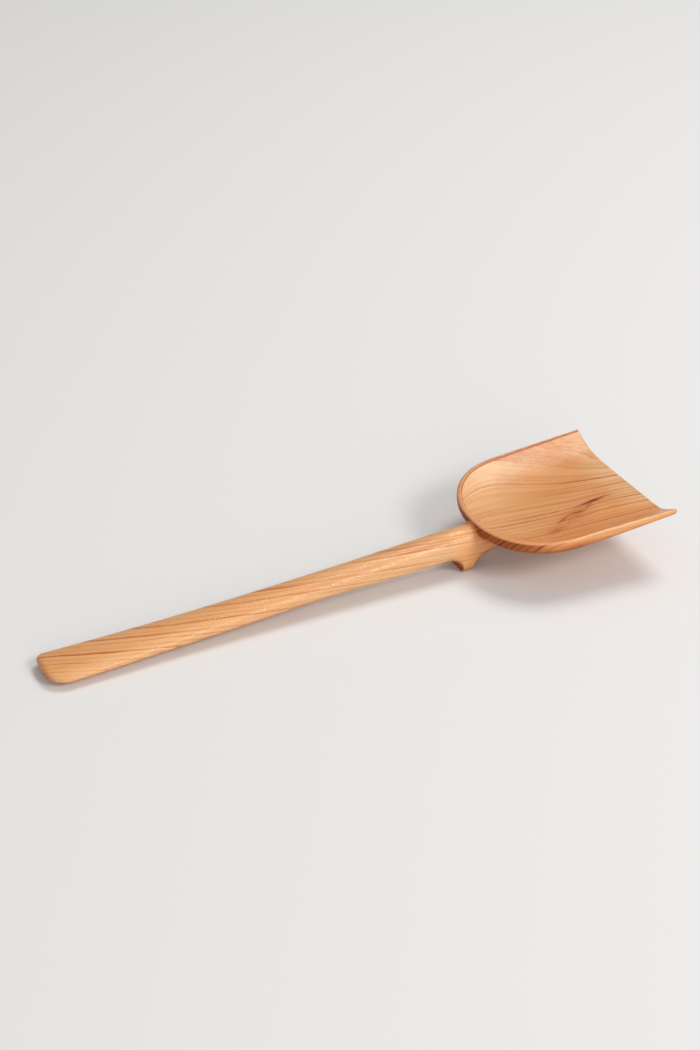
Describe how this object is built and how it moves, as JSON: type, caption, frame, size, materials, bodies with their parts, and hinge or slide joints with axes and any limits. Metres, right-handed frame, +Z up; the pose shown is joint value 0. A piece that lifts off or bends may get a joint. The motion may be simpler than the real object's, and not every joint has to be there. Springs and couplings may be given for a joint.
{
  "type": "wooden spoon spatula",
  "caption": "Carved wooden spatula with a shallow scoop open at its straight front edge, a slim handle widening to a flat grip, and a foot under the neck that holds the scoop off the table.",
  "frame": {"origin": "bottom centre of the bounding box, on the table that it rests on", "axes": "+X along the length from the handle's end to the scoop's front edge, +Y across the scoop, +Z up"},
  "size_m": [0.32, 0.0954, 0.034],
  "materials": {
    "wood": "oiled satin, fine long grain with reddish ring lines"
  },
  "bodies": {
    "root": {"spoon_spatula": "wood"}
  },
  "joints": []
}
